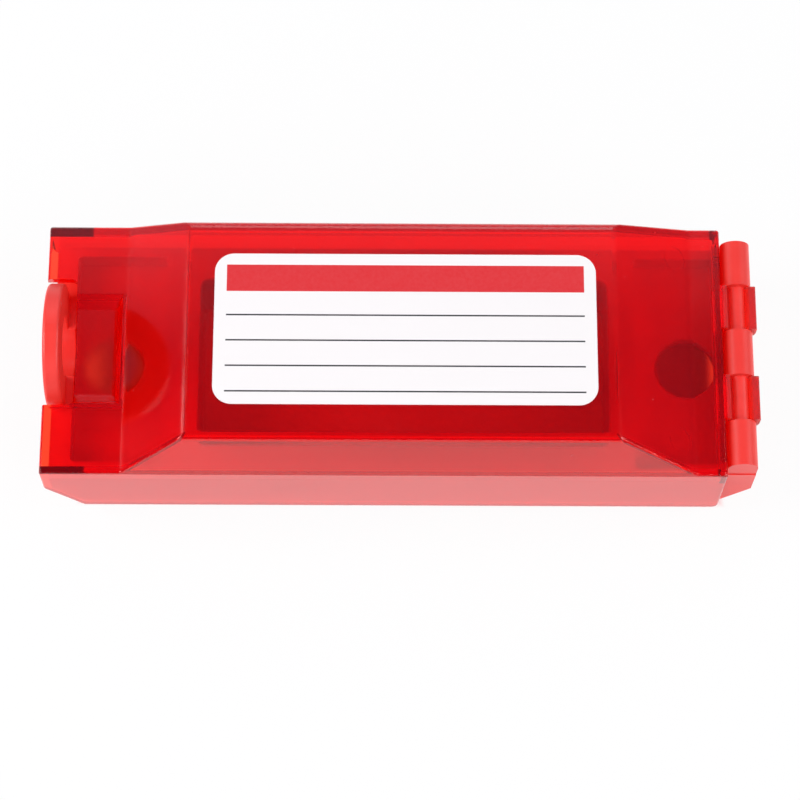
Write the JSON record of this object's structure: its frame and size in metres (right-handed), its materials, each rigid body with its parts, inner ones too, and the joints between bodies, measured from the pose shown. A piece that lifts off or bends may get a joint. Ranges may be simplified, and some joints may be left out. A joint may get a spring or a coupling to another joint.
{
  "type": "wall switch lockout box",
  "caption": "Hinged lockout cover for a wall switch: red frame with a hasp, clear red lid with a raised middle that swings on a hinge rod, bare label on top.",
  "frame": {"origin": "on the wall plane, under the middle of the closed box", "axes": "+X along the box from the hasp end to the hinge end, +Y across it, +Z away from the wall"},
  "size_m": [0.1572, 0.0582, 0.0373],
  "materials": {
    "frame_plastic": "satin moulded, opaque red",
    "rod_plastic": "satin, opaque red",
    "clear_plastic": "polished, clear red",
    "label_film": "satin white film"
  },
  "bodies": {
    "frame_body": {"base_frame": "frame_plastic", "hinge_rod": "rod_plastic"},
    "lid_body": {"lid": "clear_plastic", "label": "label_film"}
  },
  "joints": [
    {"name": "lid_hinge", "type": "hinge", "parent": "frame_body", "child": "lid_body", "pos_m": [0.07455, 0, 0.0217], "axis": [0, 1, 0], "range_deg": [0, 180]}
  ]
}
